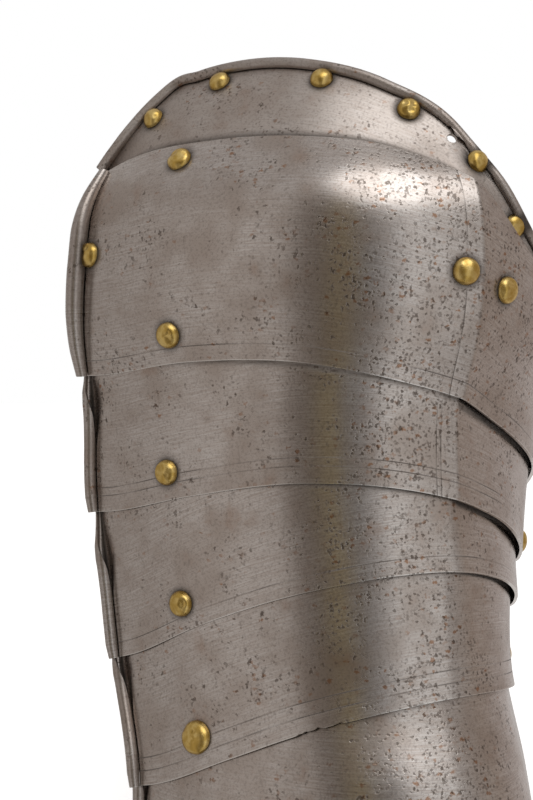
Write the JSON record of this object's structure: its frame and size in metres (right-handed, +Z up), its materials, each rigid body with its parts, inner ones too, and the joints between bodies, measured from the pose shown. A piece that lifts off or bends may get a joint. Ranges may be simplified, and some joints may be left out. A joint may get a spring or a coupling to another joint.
{
  "type": "spaulder",
  "caption": "Steel shoulder defence of overlapping curved lames joined by brass pivot rivets, with turned edges and a medial crest.",
  "frame": {"origin": "middle of the flat lower edge's wall at the foot of the crest", "axes": "+Z up; +X the way the crest faces; -Y the near side of the picture"},
  "size_m": [0.1264, 0.2007, 0.2769],
  "materials": {
    "steel": "worn and pitted",
    "brass": "worn satin"
  },
  "bodies": {
    "shoulder": {"shoulder_plate": "steel", "top_pivot_near": "brass", "top_pivot_far": "brass", "crest_rivet_near": "brass", "crest_rivet_far": "brass", "strap_rivet_near": "brass", "strap_rivet_far": "brass", "pivot_1_near": "brass", "pivot_1_far": "brass"},
    "neck_lame": {"top_lame": "steel", "rim_rivet_1": "brass", "rim_rivet_2": "brass", "rim_rivet_3": "brass", "rim_rivet_4": "brass", "rim_rivet_5": "brass", "rim_rivet_6": "brass", "rim_rivet_7": "brass", "rim_rivet_8": "brass"},
    "arm_lame_1": {"lame_1": "steel", "pivot_2_near": "brass", "pivot_2_far": "brass"},
    "arm_lame_2": {"lame_2": "steel", "pivot_3_near": "brass", "pivot_3_far": "brass"},
    "arm_lame_3": {"lame_3": "steel", "pivot_4_near": "brass", "pivot_4_far": "brass"},
    "arm_lame_4": {"lame_4": "steel"}
  },
  "joints": [
    {"name": "neck_lame_pivot", "type": "hinge", "parent": "shoulder", "child": "neck_lame", "pos_m": [-0.0691, -0.00281, 0.20119], "axis": [0.1096, 0.8854, -0.4518], "range_deg": [-4, 0.5]},
    {"name": "arm_lame_1_pivot", "type": "hinge", "parent": "shoulder", "child": "arm_lame_1", "pos_m": [-0.06895, -0.00779, 0.15544], "axis": [0.0394, 0.952, -0.3035], "range_deg": [-3, 4]},
    {"name": "arm_lame_2_pivot", "type": "hinge", "parent": "arm_lame_1", "child": "arm_lame_2", "pos_m": [-0.07116, -0.0115, 0.11806], "axis": [0.1498, 0.9666, -0.2078], "range_deg": [-4, 2.5]},
    {"name": "arm_lame_3_pivot", "type": "hinge", "parent": "arm_lame_2", "child": "arm_lame_3", "pos_m": [-0.07347, -0.0087, 0.08647], "axis": [0.041, 0.9988, -0.0259], "range_deg": [-4, 4]},
    {"name": "arm_lame_4_pivot", "type": "hinge", "parent": "arm_lame_3", "child": "arm_lame_4", "pos_m": [-0.06941, -0.00843, 0.05231], "axis": [-0.0278, 0.9927, 0.1171], "range_deg": [-4, 4]}
  ]
}
